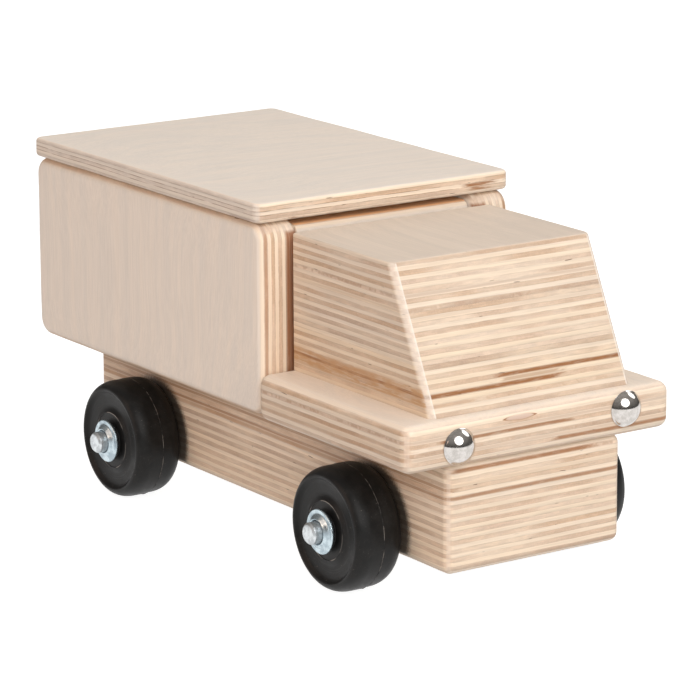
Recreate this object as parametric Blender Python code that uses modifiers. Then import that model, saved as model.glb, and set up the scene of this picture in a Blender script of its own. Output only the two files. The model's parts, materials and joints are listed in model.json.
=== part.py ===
"""Plywood toy truck with a tipping box, a hanging tailgate and a lift-off lid.

Metres, +X towards the cab, +Y to the truck's left, +Z up. The origin is on the ground, at the middle
of the whole truck. Every board is a box with rounded edges; turned parts are screwed profiles.
"""
import math

import bmesh
import bpy
from mathutils import Vector

MM = 0.001

# General fits
GAP = 0.3 * MM              # between two pieces that touch
BORE_FIT = 0.15 * MM        # round a rod, dowel or screw in its hole
SOFT_EDGE = 3.0 * MM        # sanded edges of the box sides and the chassis
PLAN_CORNER = 4.0 * MM      # the fender plate's corners, seen from above
DOWEL_CHAMFER = 0.6 * MM
PIN_CHAMFER = 0.2 * MM

# Chassis block
CHASSIS_REAR = -100.5 * MM
CHASSIS_FRONT = 109.4 * MM
CHASSIS_HALF_WIDTH = 34.0 * MM
CHASSIS_BOTTOM = 12.0 * MM
CHASSIS_TOP = 47.2 * MM

# Fender plate, across the front under the cab
PLATE_REAR = 28.8 * MM
PLATE_FRONT = 112.3 * MM
PLATE_HALF_WIDTH = 51.8 * MM
PLATE_BOTTOM = 47.5 * MM
PLATE_TOP = 62.7 * MM
PLATE_EDGE = 3.6 * MM

# Cab: three boards with one slanted windscreen face
CAB_REAR = 31.0 * MM
CAB_FRONT_LOW = 107.4 * MM
CAB_FRONT_HIGH = 85.8 * MM
CAB_HALF_WIDTH = 39.0 * MM
CAB_BOTTOM = 63.0 * MM
CAB_TOP = 107.9 * MM
CAB_BOARDS = ("cab_lower_board", "cab_middle_board", "cab_upper_board")
CAB_PILLAR_EDGE = 2.6 * MM

# Dowels that locate the lowest cab board, the plate and the chassis
DOWEL_RADIUS = 4.0 * MM
DOWEL_BOTTOM = 32.0 * MM
DOWEL_TOP = 73.0 * MM
DOWELS = (("cab_dowel_front", 88.0 * MM), ("cab_dowel_rear", 46.0 * MM))

# Headlight nails, driven into the plate's front edge; hand-set, so not quite level
NAIL_RADIUS = 5.9 * MM
NAIL_DOME = 3.9 * MM
NAIL_SHANK_RADIUS = 0.9 * MM
NAIL_SHANK = 11.0 * MM
NAIL_POINT = 2.0 * MM
NAIL_DOME_STEPS = 6
NAILS = (("headlight_nail_left", 33.0 * MM, 56.5 * MM),
         ("headlight_nail_right", -31.9 * MM, 54.3 * MM))

# Axles and wheels
AXLES = (("front", 69.4 * MM), ("rear", -62.2 * MM))
ROD_RADIUS = 3.6 * MM
ROD_HALF_LENGTH = 59.3 * MM
ROD_CHAMFER = 0.6 * MM
WHEEL_RADIUS = 20.45 * MM
WHEEL_WIDTH = 17.6 * MM
WHEEL_SHOULDER = 5.3 * MM           # how far in from the rim the tread begins
WHEEL_SHOULDER_STEPS = 4
WHEEL_RIM_RADIUS = 17.6 * MM        # the crest of the rim
WHEEL_DISH_RADIUS = 17.0 * MM       # the face inside the rim is sunk
WHEEL_DISH_DEPTH = 1.6 * MM
WHEEL_RECESS_RADIUS = 8.5 * MM      # a deeper ring round the boss
WHEEL_RECESS_DEPTH = 2.9 * MM
WHEEL_BOSS_RADIUS = 6.0 * MM
WHEEL_BOSS_PROUD = 0.55 * MM        # the boss stands past the rim and carries the push-on washer
SPACER_RADIUS = 7.0 * MM
SPACER_THICKNESS = 1.0 * MM
PUSH_RADIUS = 7.3 * MM
PUSH_THICKNESS = 0.9 * MM
PUSH_RIM = 0.3 * MM
PUSH_COLLAR_RADIUS = 5.6 * MM
PUSH_COLLAR_TOP_RADIUS = 4.3 * MM
PUSH_COLLAR_HEIGHT = 2.2 * MM

# Tipping box
BOX_REAR = -116.5 * MM
BOX_FRONT = 28.5 * MM
SIDE_OUTER = 49.4 * MM
SIDE_INNER = 34.5 * MM
SIDE_BOTTOM = 47.5 * MM
SIDE_TOP = 110.8 * MM
SIDE_CORNER = 6.0 * MM
PANEL_THICKNESS = 15.0 * MM
PANEL_INSET = 2.3 * MM
PANEL_TOP = 109.0 * MM
FLOOR_BOTTOM = 47.6 * MM
FLOOR_TOP = 54.6 * MM
FLOOR_GATE_GAP = 0.5 * MM

# Tailgate, hung from two blind pins near its rounded top edge
TAILGATE_SIDE_GAP = 0.6 * MM
TAILGATE_BOTTOM = 50.0 * MM
TAILGATE_TOP_RADIUS = 7.45 * MM
TAILGATE_PIN_RADIUS = 1.5 * MM
TAILGATE_PIN_REACH = 8.0 * MM

# Lift-off lid
LID_REAR = -116.3 * MM
LID_FRONT = 27.6 * MM
LID_HALF_WIDTH = 50.2 * MM
LID_BOTTOM = 111.1 * MM
LID_TOP = 117.7 * MM
LID_EDGE = 2.1 * MM
LID_CORNER = 3.2 * MM
CLEAT_WIDTH = 7.5 * MM
CLEAT_HEIGHT = 5.7 * MM
CLEAT_ROOM = 0.8 * MM        # slack all round inside the box

# Butt hinge at the chassis' rear top edge
HINGE_X = -102.8 * MM
HINGE_Z = 46.7 * MM
HINGE_HALF_LENGTH = 25.0 * MM
HINGE_LEAF = 1.0 * MM
HINGE_LEAF_WIDTH = 15.0 * MM
HINGE_LEAF_OVERLAP = 0.2 * MM       # how far a leaf runs past the pin's centre line
HINGE_LEAF_INSET = 0.5 * MM         # from the outermost knuckle's end to the leaf's end
HINGE_LEAF_DROP = 0.1 * MM          # from the top of the knuckles to the top of the box's leaf
HINGE_PIN_PROUD = 0.5 * MM          # how far the pin stands out at each end
KNUCKLE_RADIUS = 1.9 * MM
HINGE_PIN_RADIUS = 0.95 * MM
KNUCKLES = 5
HINGE_SCREW_Y = 15.0 * MM
HINGE_SCREW_SET = 9.3 * MM          # from the pin's centre line to a screw
SCREW_HEAD_RADIUS = 2.3 * MM
SCREW_SHANK_RADIUS = 1.1 * MM
SCREW_HEAD_DEPTH = 1.0 * MM
SCREW_POINT = 2.0 * MM
SCREW_SEAT_RELIEF = 0.5 * MM        # the seat's cutter stands this far past the leaf
CHASSIS_SCREW_LENGTH = 12.0 * MM
FLOOR_SCREW_LENGTH = 5.4 * MM

ROUND_STEPS = 40
SMALL_STEPS = 20

for leftover in list(bpy.data.objects):
    bpy.data.objects.remove(leftover, do_unlink=True)

truck = bpy.data.collections.new("toy_dump_truck")
cutters = bpy.data.collections.new("cutters")
for collection in (truck, cutters):
    bpy.context.scene.collection.children.link(collection)


def make_material(name, color, roughness, metallic=0.0):
    """One Principled material."""
    material = bpy.data.materials.new(name)
    material.use_nodes = True
    shader = material.node_tree.nodes["Principled BSDF"]
    shader.inputs["Base Color"].default_value = (*color, 1.0)
    shader.inputs["Roughness"].default_value = roughness
    shader.inputs["Metallic"].default_value = metallic
    return material


FINISHES = {
    "birch_face": ((0.72, 0.60, 0.47), 0.55, 0.0),
    "birch_edge": ((0.70, 0.54, 0.38), 0.60, 0.0),
    "beech": ((0.62, 0.42, 0.26), 0.60, 0.0),
    "rubber": ((0.018, 0.017, 0.017), 0.55, 0.0),
    "zinc": ((0.62, 0.66, 0.70), 0.30, 1.0),
    "steel": ((0.56, 0.55, 0.54), 0.28, 1.0),
    "nickel": ((0.66, 0.63, 0.60), 0.12, 1.0),
}


def link(name, mesh, finish, group=truck):
    """Object for a mesh, with a material of its own."""
    obj = bpy.data.objects.new(name, mesh)
    group.objects.link(obj)
    color, roughness, metallic = FINISHES[finish]
    mesh.materials.append(make_material(name + "_" + finish, color, roughness, metallic))
    return obj


def mesh_from(bm, name):
    """Mesh data-block from a bmesh, with faces turned outwards."""
    bmesh.ops.recalc_face_normals(bm, faces=bm.faces)
    mesh = bpy.data.meshes.new(name)
    bm.to_mesh(mesh)
    bm.free()
    return mesh


def block_bmesh(low, high):
    """Box between two corners, about its own centre, and that centre."""
    low, high = Vector(low), Vector(high)
    bm = bmesh.new()
    bmesh.ops.create_cube(bm, size=1.0)
    bmesh.ops.scale(bm, vec=high - low, verts=bm.verts)
    return bm, (low + high) / 2


def edges_along(bm, axis):
    """Edges of a box that run along one axis."""
    found = []
    for edge in bm.edges:
        run = edge.verts[1].co - edge.verts[0].co
        if abs(run[axis]) > 0.999 * run.length:
            found.append(edge)
    return found


def round_corners(bm, edges, radius, segments=3):
    """Round chosen edges."""
    bmesh.ops.bevel(bm, geom=edges, offset=radius, segments=segments, profile=0.5, affect="EDGES")


def soften(obj, radius, segments=2):
    """Round the square edges that are left."""
    bevel = obj.modifiers.new("edges", "BEVEL")
    bevel.width = radius
    bevel.segments = segments
    bevel.limit_method = "ANGLE"
    bevel.angle_limit = math.radians(50)
    return bevel


def board(name, low, high, finish, edge=0.0, corner=0.0, corner_axis=1):
    """Flat board with rounded corners about one axis and softened edges."""
    bm, centre = block_bmesh(low, high)
    if corner:
        round_corners(bm, edges_along(bm, corner_axis), corner)
    obj = link(name, mesh_from(bm, name), finish)
    obj.location = centre
    if edge:
        soften(obj, edge)
    return obj


def round_topped(name, low, high, finish, radius, segments):
    """Flat board whose top front and top rear edges are rounded."""
    bm, centre = block_bmesh(low, high)
    top_edges = []
    for edge in edges_along(bm, 1):
        if edge.verts[0].co.z > 0.0:
            top_edges.append(edge)
    round_corners(bm, top_edges, radius, segments)
    obj = link(name, mesh_from(bm, name), finish)
    obj.location = centre
    return obj


def turned(name, profile, finish, axis, steps=ROUND_STEPS, group=truck):
    """Solid of revolution. The profile is (radius, height) down the outside, top to bottom."""
    bm = bmesh.new()
    verts = [bm.verts.new((radius, 0.0, height)) for radius, height in profile]
    for first, second in zip(verts, verts[1:]):
        bm.edges.new((first, second))
    if profile[0][0] > 0.0:
        bm.edges.new((verts[-1], verts[0]))
    mesh = bpy.data.meshes.new(name)
    bm.to_mesh(mesh)
    bm.free()
    obj = link(name, mesh, finish, group)
    spin = obj.modifiers.new("turn", "SCREW")
    spin.steps = steps
    spin.render_steps = steps
    spin.use_smooth_shade = True
    spin.use_merge_vertices = True
    spin.merge_threshold = 0.00001
    obj.rotation_mode = "QUATERNION"
    obj.rotation_quaternion = Vector((0.0, 0.0, 1.0)).rotation_difference(Vector(axis))
    return obj


def pin_profile(radius, half_length, chamfer):
    """Profile of a plain round pin with chamfered ends, about its middle."""
    return ((0.0, half_length), (radius - chamfer, half_length), (radius, half_length - chamfer),
            (radius, chamfer - half_length), (radius - chamfer, -half_length), (0.0, -half_length))


def wheel_shoulder(face, turn):
    """Points from the rim's crest round to the tread. Turn is 1 on the outer side and -1 on the inner."""
    points = []
    for number in range(WHEEL_SHOULDER_STEPS + 1):
        angle = math.radians(90 * number / WHEEL_SHOULDER_STEPS)
        radius = WHEEL_RIM_RADIUS + (WHEEL_RADIUS - WHEEL_RIM_RADIUS) * math.sin(angle)
        points.append((radius, turn * (face - WHEEL_SHOULDER * (1 - math.cos(angle)))))
    return points


def hide_cutter(obj):
    """Cutters are outlines only."""
    obj.hide_render = True
    obj.display_type = "WIRE"


def cutter_cylinder(name, radius, start, end, steps=SMALL_STEPS):
    """Round cutter between two points."""
    start, end = Vector(start), Vector(end)
    bm = bmesh.new()
    bmesh.ops.create_cone(bm, cap_ends=True, segments=steps, radius1=radius, radius2=radius,
                          depth=(end - start).length)
    turn = Vector((0.0, 0.0, 1.0)).rotation_difference(end - start).to_matrix().to_4x4()
    bmesh.ops.transform(bm, matrix=turn, verts=bm.verts)
    obj = link(name, mesh_from(bm, name), "steel", cutters)
    obj.data.shade_smooth()
    obj.data.set_sharp_from_angle(angle=math.radians(40))
    obj.location = (start + end) / 2
    hide_cutter(obj)
    return obj


def cutter_block(name, low, high):
    """Square cutter."""
    bm, centre = block_bmesh(low, high)
    obj = link(name, mesh_from(bm, name), "steel", cutters)
    obj.location = centre
    hide_cutter(obj)
    return obj


def cut(obj, cutter):
    """Take a cutter's shape out of a piece."""
    boolean = obj.modifiers.new("cut_" + cutter.name, "BOOLEAN")
    boolean.operation = "DIFFERENCE"
    boolean.solver = "EXACT"
    boolean.object = cutter


def join(obj, other):
    """Weld a helper solid to a piece."""
    boolean = obj.modifiers.new("join_" + other.name, "BOOLEAN")
    boolean.operation = "UNION"
    boolean.solver = "EXACT"
    boolean.object = other


def pivot(name, place, parent=None):
    """Empty on a joint's axis."""
    empty = bpy.data.objects.new(name, None)
    truck.objects.link(empty)
    hang(empty, parent, place)
    return empty


def world_place(obj):
    """Where an object stands, through its parents."""
    place = Vector(obj.location)
    if obj.parent:
        place += world_place(obj.parent)
    return place


def set_origin(obj, place):
    """Move an unrotated object's origin and leave its shape where it is."""
    bm = bmesh.new()
    bm.from_mesh(obj.data)
    bmesh.ops.translate(bm, vec=obj.location - Vector(place), verts=bm.verts)
    bm.to_mesh(obj.data)
    bm.free()
    obj.location = place


def hang(obj, parent, place=None):
    """Parent an object and keep its place in the world."""
    target = Vector(obj.location if place is None else place)
    obj.parent = parent
    obj.location = target - world_place(parent) if parent else target


# Chassis, plate and cab -------------------------------------------------------------------------
chassis = board("chassis_block",
                (CHASSIS_REAR, -CHASSIS_HALF_WIDTH, CHASSIS_BOTTOM),
                (CHASSIS_FRONT, CHASSIS_HALF_WIDTH, CHASSIS_TOP), "birch_edge", edge=SOFT_EDGE)
plate = board("fender_plate",
              (PLATE_REAR, -PLATE_HALF_WIDTH, PLATE_BOTTOM),
              (PLATE_FRONT, PLATE_HALF_WIDTH, PLATE_TOP), "birch_edge",
              edge=PLATE_EDGE, corner=PLAN_CORNER, corner_axis=2)

windscreen_run = (CAB_FRONT_HIGH - CAB_FRONT_LOW) / (CAB_TOP - CAB_BOTTOM)
board_height = (CAB_TOP - CAB_BOTTOM + GAP) / len(CAB_BOARDS)
cab_boards = []
for number, name in enumerate(CAB_BOARDS):
    low = CAB_BOTTOM + number * board_height
    high = low + board_height - GAP
    bm, centre = block_bmesh((CAB_REAR, -CAB_HALF_WIDTH, low), (CAB_FRONT_LOW, CAB_HALF_WIDTH, high))
    pillars = []
    for edge in edges_along(bm, 2):
        if edge.verts[0].co.x > 0.0:
            pillars.append(edge)
    for vert in bm.verts:
        if vert.co.x > 0.0:
            vert.co.x += windscreen_run * (vert.co.z + centre.z - CAB_BOTTOM)
    round_corners(bm, pillars, CAB_PILLAR_EDGE)
    cab = link(name, mesh_from(bm, name), "birch_edge")
    cab.location = centre
    cab_boards.append(cab)

for name, x in DOWELS:
    middle = Vector((x, 0.0, (DOWEL_BOTTOM + DOWEL_TOP) / 2))
    half = (DOWEL_TOP - DOWEL_BOTTOM) / 2
    dowel = turned(name, pin_profile(DOWEL_RADIUS, half, DOWEL_CHAMFER), "beech", (0, 0, 1),
                   steps=SMALL_STEPS)
    dowel.location = middle
    hole = cutter_cylinder("hole_" + name, DOWEL_RADIUS + BORE_FIT,
                           (x, 0.0, DOWEL_BOTTOM - GAP), (x, 0.0, DOWEL_TOP + GAP))
    for piece in (chassis, plate, cab_boards[0]):
        cut(piece, hole)

# Headlight nails --------------------------------------------------------------------------------
nail_profile = [(0.0, NAIL_DOME)]
for step in range(1, NAIL_DOME_STEPS + 1):
    angle = math.radians(90 * step / NAIL_DOME_STEPS)
    nail_profile.append((NAIL_RADIUS * math.sin(angle), NAIL_DOME * math.cos(angle)))
nail_profile += [(NAIL_SHANK_RADIUS, 0.0), (NAIL_SHANK_RADIUS, NAIL_POINT - NAIL_SHANK),
                 (0.0, -NAIL_SHANK)]
for name, y, z in NAILS:
    nail = turned(name, nail_profile, "nickel", (1, 0, 0), steps=32)
    nail.location = (PLATE_FRONT + GAP, y, z)
    pilot = cutter_cylinder("pilot_" + name, NAIL_SHANK_RADIUS + BORE_FIT,
                            (PLATE_FRONT - NAIL_SHANK - GAP, y, z), (PLATE_FRONT + MM, y, z), 12)
    cut(plate, pilot)

# Axle rods, washers and wheels ------------------------------------------------------------------
rod_profile = pin_profile(ROD_RADIUS, ROD_HALF_LENGTH, ROD_CHAMFER)
bore_radius = ROD_RADIUS + BORE_FIT
spacer_profile = ((bore_radius, SPACER_THICKNESS), (SPACER_RADIUS, SPACER_THICKNESS),
                  (SPACER_RADIUS, 0.0), (bore_radius, 0.0))

half_width = WHEEL_WIDTH / 2
boss_face = half_width + WHEEL_BOSS_PROUD
recess_floor = half_width - WHEEL_RECESS_DEPTH
dish_floor = half_width - WHEEL_DISH_DEPTH
wheel_profile = [(bore_radius, boss_face), (WHEEL_BOSS_RADIUS, boss_face), (WHEEL_BOSS_RADIUS, recess_floor),
                 (WHEEL_RECESS_RADIUS, recess_floor), (WHEEL_RECESS_RADIUS, dish_floor),
                 (WHEEL_DISH_RADIUS, dish_floor)]
wheel_profile += wheel_shoulder(half_width, 1)
wheel_profile += reversed(wheel_shoulder(half_width, -1))
wheel_profile.append((bore_radius, -half_width))
push_profile = ((bore_radius, PUSH_COLLAR_HEIGHT), (PUSH_COLLAR_TOP_RADIUS, PUSH_COLLAR_HEIGHT),
                (PUSH_COLLAR_RADIUS, PUSH_THICKNESS), (PUSH_RADIUS - PUSH_RIM, PUSH_THICKNESS),
                (PUSH_RADIUS, PUSH_THICKNESS - PUSH_RIM), (PUSH_RADIUS, 0.0), (bore_radius, 0.0))
spacer_inner = CHASSIS_HALF_WIDTH + GAP
wheel_centre = spacer_inner + SPACER_THICKNESS + GAP + half_width
push_inner = wheel_centre + boss_face + GAP

for axle, x in AXLES:
    rod = turned(axle + "_axle_rod", rod_profile, "steel", (0, 1, 0), steps=32)
    rod.location = (x, 0.0, WHEEL_RADIUS)
    bore = cutter_cylinder("bore_" + axle, bore_radius, (x, -spacer_inner, WHEEL_RADIUS),
                           (x, spacer_inner, WHEEL_RADIUS), 32)
    cut(chassis, bore)
    for side, sign in (("left", 1), ("right", -1)):
        outward = (0, sign, 0)
        tag = axle + "_" + side
        spacer = turned("spacer_washer_" + tag, spacer_profile, "zinc", outward, steps=24)
        spacer.location = (x, sign * spacer_inner, WHEEL_RADIUS)
        push = turned("push_washer_" + tag, push_profile, "zinc", outward, steps=32)
        push.location = (x, sign * push_inner, WHEEL_RADIUS)
        wheel = turned("wheel_" + tag, wheel_profile, "rubber", outward)
        hub = pivot("wheel_axis_" + tag, (x, sign * wheel_centre, WHEEL_RADIUS))
        wheel.location = (x, sign * wheel_centre, WHEEL_RADIUS)
        hang(wheel, hub)

# Tipping hinge ----------------------------------------------------------------------------------
tip_axis = pivot("tipping_axis", (HINGE_X, 0.0, HINGE_Z))
knuckle_pitch = 2 * HINGE_HALF_LENGTH / KNUCKLES


def knuckle_start(number):
    """Where a knuckle's share of the hinge begins."""
    return -HINGE_HALF_LENGTH + number * knuckle_pitch


def hinge_leaf(name, low, high, first_knuckle):
    """Leaf with every second knuckle, bored for the pin."""
    leaf = board(name, low, high, "steel")
    room = KNUCKLE_RADIUS + GAP
    for number in range(1 - first_knuckle, KNUCKLES, 2):
        start = knuckle_start(number)
        end_room = MM if number in (0, KNUCKLES - 1) else 0.0
        cut(leaf, cutter_block("room_%s_%d" % (name, number),
                               (HINGE_X - room, start - end_room, HINGE_Z - room),
                               (HINGE_X + room, start + knuckle_pitch + end_room, HINGE_Z + room)))
    for number in range(first_knuckle, KNUCKLES, 2):
        start = knuckle_start(number)
        join(leaf, cutter_cylinder("knuckle_%s_%d" % (name, number), KNUCKLE_RADIUS,
                                   (HINGE_X, start + GAP / 2, HINGE_Z),
                                   (HINGE_X, start + knuckle_pitch - GAP / 2, HINGE_Z), 24))
    cut(leaf, cutter_cylinder("pin_hole_" + name, HINGE_PIN_RADIUS + BORE_FIT,
                              (HINGE_X, -HINGE_HALF_LENGTH - MM, HINGE_Z),
                              (HINGE_X, HINGE_HALF_LENGTH + MM, HINGE_Z), 24))
    return leaf


leaf_front = CHASSIS_REAR - GAP
leaf_half = HINGE_HALF_LENGTH - HINGE_LEAF_INSET
leaf_chassis = hinge_leaf("hinge_leaf_chassis",
                          (leaf_front - HINGE_LEAF, -leaf_half, HINGE_Z - HINGE_LEAF_WIDTH),
                          (leaf_front, leaf_half, HINGE_Z + HINGE_LEAF_OVERLAP), 0)
leaf_top = HINGE_Z + KNUCKLE_RADIUS - HINGE_LEAF_DROP
leaf_box = hinge_leaf("hinge_leaf_box",
                      (HINGE_X - HINGE_LEAF_OVERLAP, -leaf_half, leaf_top - HINGE_LEAF),
                      (HINGE_X + HINGE_LEAF_WIDTH, leaf_half, leaf_top), 1)
hang(leaf_box, tip_axis)
pin_half = HINGE_HALF_LENGTH + HINGE_PIN_PROUD
hinge_pin = turned("hinge_pin", pin_profile(HINGE_PIN_RADIUS, pin_half, PIN_CHAMFER), "steel",
                   (0, 1, 0), steps=SMALL_STEPS)
hinge_pin.location = (HINGE_X, 0.0, HINGE_Z)


def wood_screw(name, place, outward, length):
    """Countersunk screw: its head's flat face at the place, its point the other way."""
    neck = -SCREW_HEAD_DEPTH
    tip = -length
    profile = ((0.0, 0.0), (SCREW_HEAD_RADIUS, 0.0), (SCREW_SHANK_RADIUS, neck),
               (SCREW_SHANK_RADIUS, tip + SCREW_POINT), (0.0, tip))
    screw = turned(name, profile, "steel", outward, steps=SMALL_STEPS)
    screw.location = place
    head_room = SCREW_HEAD_RADIUS + BORE_FIT
    shank_room = SCREW_SHANK_RADIUS + BORE_FIT
    seat = ((0.0, SCREW_SEAT_RELIEF), (head_room, SCREW_SEAT_RELIEF), (head_room, 0.0),
            (shank_room, neck), (shank_room, tip - GAP), (0.0, tip - GAP))
    hole = turned("seat_" + name, seat, "steel", outward, steps=SMALL_STEPS, group=cutters)
    hole.location = place
    hide_cutter(hole)
    return screw, hole


# Box floor, front panel and sides ---------------------------------------------------------------
panel_face = BOX_FRONT - PANEL_INSET
gate_rear = BOX_REAR + PANEL_INSET
gate_front = gate_rear + PANEL_THICKNESS
inner_half = SIDE_INNER - GAP
floor = board("box_floor", (gate_front + FLOOR_GATE_GAP, -inner_half, FLOOR_BOTTOM),
              (panel_face - PANEL_THICKNESS - GAP, inner_half, FLOOR_TOP), "birch_face")
front_panel = round_topped("box_front_panel", (panel_face - PANEL_THICKNESS, -inner_half, FLOOR_BOTTOM),
                           (panel_face, inner_half, PANEL_TOP), "birch_face", SOFT_EDGE, 3)

rebate = cutter_block("hinge_rebate", (gate_front - MM, -HINGE_HALF_LENGTH - GAP, FLOOR_BOTTOM - MM),
                      (HINGE_X + HINGE_LEAF_WIDTH + GAP, HINGE_HALF_LENGTH + GAP, leaf_top + GAP))
cut(floor, rebate)

for side, sign in (("left", 1), ("right", -1)):
    low_y, high_y = sorted((sign * SIDE_INNER, sign * SIDE_OUTER))
    panel = board("box_side_" + side, (BOX_REAR, low_y, SIDE_BOTTOM), (BOX_FRONT, high_y, SIDE_TOP),
                  "birch_face", edge=SOFT_EDGE, corner=SIDE_CORNER, corner_axis=1)
    hang(panel, tip_axis)
for piece in (floor, front_panel):
    hang(piece, tip_axis)

# Hinge screws -----------------------------------------------------------------------------------
for side, sign in (("left", 1), ("right", -1)):
    y = sign * HINGE_SCREW_Y
    low_screw, low_hole = wood_screw("hinge_screw_chassis_" + side,
                                     (leaf_front - HINGE_LEAF, y, HINGE_Z - HINGE_SCREW_SET),
                                     (-1, 0, 0), CHASSIS_SCREW_LENGTH)
    cut(leaf_chassis, low_hole)
    cut(chassis, low_hole)
    high_screw, high_hole = wood_screw("hinge_screw_box_" + side,
                                       (HINGE_X + HINGE_SCREW_SET, y, leaf_top - HINGE_LEAF),
                                       (0, 0, -1), FLOOR_SCREW_LENGTH)
    cut(leaf_box, high_hole)
    cut(floor, high_hole)
    hang(high_screw, tip_axis)

# Tailgate ---------------------------------------------------------------------------------------
gate_half = SIDE_INNER - TAILGATE_SIDE_GAP
gate_x = (gate_rear + gate_front) / 2
gate_z = PANEL_TOP - PANEL_THICKNESS / 2
gate_axis = pivot("tailgate_axis", (gate_x, 0.0, gate_z), tip_axis)
gate = round_topped("tailgate_panel", (gate_rear, -gate_half, TAILGATE_BOTTOM),
                    (gate_front, gate_half, PANEL_TOP), "birch_face", TAILGATE_TOP_RADIUS, 6)
set_origin(gate, (gate_x, 0.0, gate_z))
hang(gate, gate_axis)

for side, sign in (("left", 1), ("right", -1)):
    near = sign * (gate_half - TAILGATE_PIN_REACH)
    far = sign * (SIDE_INNER + TAILGATE_PIN_REACH)
    half = abs(far - near) / 2 - GAP
    pin = turned("tailgate_pin_" + side,
                 pin_profile(TAILGATE_PIN_RADIUS, half, PIN_CHAMFER), "steel", (0, 1, 0),
                 steps=SMALL_STEPS)
    pin.location = (gate_x, (near + far) / 2, gate_z)
    socket = cutter_cylinder("socket_" + side, TAILGATE_PIN_RADIUS + BORE_FIT,
                             (gate_x, near, gate_z), (gate_x, far, gate_z))
    cut(gate, socket)
    cut(bpy.data.objects["box_side_" + side], socket)
    hang(pin, tip_axis)

# Lid --------------------------------------------------------------------------------------------
lid_lift = pivot("lid_lift", ((LID_REAR + LID_FRONT) / 2, 0.0, LID_BOTTOM), tip_axis)
lid = board("lid_board", (LID_REAR, -LID_HALF_WIDTH, LID_BOTTOM), (LID_FRONT, LID_HALF_WIDTH, LID_TOP),
            "birch_face", edge=LID_EDGE, corner=LID_CORNER, corner_axis=2)
hang(lid, lid_lift)
cleat_top = LID_BOTTOM - GAP
cleat_half = SIDE_INNER - CLEAT_ROOM
cleat_front = panel_face - PANEL_THICKNESS - CLEAT_ROOM
cleat_rear = gate_front + CLEAT_ROOM
for name, low_x in (("lid_cleat_front", cleat_front - CLEAT_WIDTH), ("lid_cleat_rear", cleat_rear)):
    cleat = board(name, (low_x, -cleat_half, cleat_top - CLEAT_HEIGHT),
                  (low_x + CLEAT_WIDTH, cleat_half, cleat_top), "birch_edge")
    hang(cleat, lid_lift)
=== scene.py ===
import json
import math

import bmesh
import bpy
from mathutils import Matrix, Vector, noise

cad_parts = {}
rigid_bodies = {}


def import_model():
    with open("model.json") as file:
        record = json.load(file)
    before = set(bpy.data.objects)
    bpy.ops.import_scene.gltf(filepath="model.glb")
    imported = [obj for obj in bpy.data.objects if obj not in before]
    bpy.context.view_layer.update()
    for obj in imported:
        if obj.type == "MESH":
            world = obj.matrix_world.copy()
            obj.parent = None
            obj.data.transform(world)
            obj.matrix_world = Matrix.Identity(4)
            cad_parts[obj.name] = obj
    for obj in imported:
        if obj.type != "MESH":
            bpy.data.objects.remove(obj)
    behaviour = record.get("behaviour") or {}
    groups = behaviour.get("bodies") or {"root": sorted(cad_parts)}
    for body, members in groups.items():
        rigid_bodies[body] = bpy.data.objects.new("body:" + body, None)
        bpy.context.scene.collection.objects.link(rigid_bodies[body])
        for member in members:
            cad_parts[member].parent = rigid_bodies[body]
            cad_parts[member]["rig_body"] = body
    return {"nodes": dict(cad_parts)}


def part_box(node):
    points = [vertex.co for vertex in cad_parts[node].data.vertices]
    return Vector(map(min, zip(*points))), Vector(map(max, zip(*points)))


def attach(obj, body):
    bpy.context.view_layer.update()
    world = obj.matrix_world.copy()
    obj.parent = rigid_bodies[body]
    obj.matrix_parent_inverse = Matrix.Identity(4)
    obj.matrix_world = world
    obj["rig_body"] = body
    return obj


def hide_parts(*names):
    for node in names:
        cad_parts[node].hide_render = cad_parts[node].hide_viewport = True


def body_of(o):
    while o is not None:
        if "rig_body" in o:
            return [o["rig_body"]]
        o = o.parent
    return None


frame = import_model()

# A wooden toy truck: glued birch plywood, moulded rubber wheels on steel rods, two domed nails for lamps.
# Row frame: +X points forward, +Y to the truck's left, +Z up, with the origin on the ground.

MM = 0.001
PER_METRE = 1000.0           # mm
X, Y, Z = 0, 1, 2
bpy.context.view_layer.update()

# ------------ camera, floor and light

VIEW_TARGET = Vector((0.0112, -0.0033, 0.06014))
VIEW_DISTANCE = 1.2226
VIEW_AZIMUTH = math.radians(55.74)
VIEW_ELEVATION = math.radians(13.95)
VIEW_ROLL = math.radians(-0.2)
VIEW_LENS = 189.38
SENSOR_WIDTH = 36.0
CLIP = (0.05, 30.0)

FLOOR_HALF = 6.0
FLOOR_GREY = 0.32
FLOOR_GLOW = 0.93            # how bright the floor is as seen
FLOOR_BOUNCE = 0.20          # and as it lights the truck

LIT_POINT = Vector((0.0, 0.0, 0.06))
LIGHTS = {
    # name: (direction from the truck, distance, size, power, colour, shown in reflections)
    "key_softbox": ((0.80, -0.12, 0.60), 1.60, 1.35, 18.5, (1.0, 1.0, 1.0), True),
    "left_softbox": ((0.10, 0.74, 0.65), 1.70, 0.95, 5.6, (1.0, 1.0, 1.0), True),
    "side_softbox": ((-0.15, -0.93, 0.42), 1.90, 1.20, 8.9, (1.0, 0.74, 0.60), True),
    "front_fill": ((0.85, -0.52, 0.12), 1.80, 0.80, 9.2, (1.0, 0.91, 0.84), False),
    "top_softbox": ((0.05, 0.10, 1.00), 1.70, 1.00, 4.6, (0.96, 1.0, 1.0), False),
    "rear_softbox": ((-0.85, 0.45, 0.35), 1.90, 1.20, 6.0, (1.0, 1.0, 1.0), False),
}
AMBIENT = 0.15
AMBIENT_COLOUR = (1.0, 0.92, 0.84, 1.0)
MIRRORED_LOW = 0.08          # the room as the metals mirror it, at eye level
MIRRORED_HIGH = 0.42         # and overhead
MIRRORED_TOP = 0.9           # where it is brightest, as the height of a unit direction
MIRRORED_COLOUR = (1.0, 0.95, 0.90, 1.0)
WHITE = (1.0, 1.0, 1.0, 1.0)


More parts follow.
